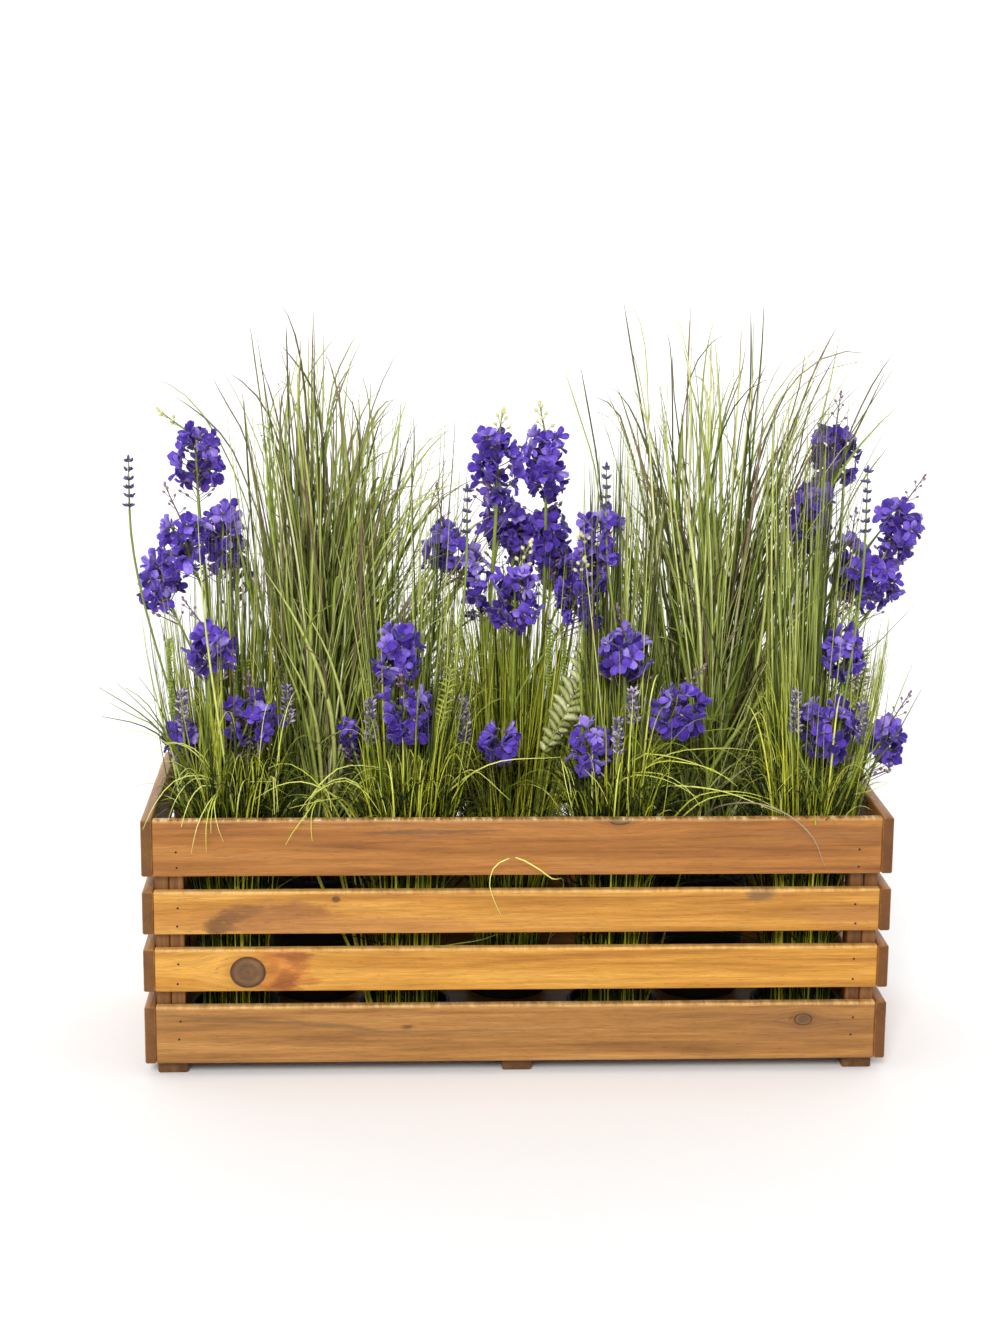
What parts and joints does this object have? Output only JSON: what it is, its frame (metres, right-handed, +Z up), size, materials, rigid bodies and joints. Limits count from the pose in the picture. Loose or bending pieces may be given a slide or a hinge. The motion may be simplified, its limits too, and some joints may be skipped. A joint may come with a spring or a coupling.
{
  "type": "planted window box",
  "caption": "Long slatted wooden window box holding tall grasses, bright arching tufts, violet-blue flower sprays, lavender and ferns in black pots.",
  "frame": {"origin": "middle of the box's footprint, on the underside of the middle bearer", "axes": "+Z up, +X along the box to the right seen from the front, +Y from the front to the back"},
  "size_m": [0.9142, 0.3903, 0.828],
  "materials": {
    "wood": "oiled acacia, satin, golden to reddish brown",
    "pot": "matt black moulded plastic",
    "bright_grass": "yellow-green fine blades, soft sheen",
    "tall_grass": "olive green blades with purple-brown tips",
    "petal": "violet-blue petals, velvety",
    "stem": "smooth green stems",
    "lavender": "dusty lilac buds",
    "fern": "pale green leaflets",
    "bud": "cream to yellow-green buds",
    "nail": "dark sunk nail heads"
  },
  "bodies": {
    "root": {"slat_front_1": "wood", "slat_front_2": "wood", "slat_front_3": "wood", "slat_front_4": "wood", "slat_back_1": "wood", "slat_back_2": "wood", "slat_back_3": "wood", "slat_back_4": "wood", "end_board_left_1": "wood", "end_board_left_2": "wood", "end_board_left_3": "wood", "end_board_left_4": "wood", "end_board_right_1": "wood", "end_board_right_2": "wood", "end_board_right_3": "wood", "end_board_right_4": "wood", "batten_front_left_end": "wood", "batten_front_left_slat": "wood", "batten_back_left_end": "wood", "batten_back_left_slat": "wood", "batten_front_right_end": "wood", "batten_front_right_slat": "wood", "batten_back_right_end": "wood", "batten_back_right_slat": "wood", "bearer_left": "wood", "bearer_middle": "wood", "bearer_right": "wood", "floor_board_1": "wood", "floor_board_2": "wood", "floor_board_3": "wood", "pot_low_left": "pot", "pot_low_mid_left": "pot", "pot_low_centre": "pot", "pot_low_mid_right": "pot", "pot_low_right": "pot", "pot_tall_left": "pot", "pot_tall_right": "pot", "tuft_left": "bright_grass", "tuft_mid_left": "bright_grass", "tuft_centre": "bright_grass", "tuft_mid_right": "bright_grass", "tuft_right": "bright_grass", "grass_tall_left": "tall_grass", "grass_tall_right": "tall_grass", "flowers_left_tall": "petal", "flowers_left_low": "petal", "flowers_centre_left": "petal", "flowers_centre_right": "petal", "flowers_centre_front": "petal", "flowers_mid_left": "petal", "flowers_mid_right": "petal", "flowers_right_tall": "petal", "flowers_right_low": "petal", "lavender_left": "lavender", "lavender_mid_left": "lavender", "lavender_mid_right": "lavender", "lavender_right": "lavender", "fern_centre": "fern", "fern_small": "fern", "fern_right": "fern"}
  },
  "joints": []
}
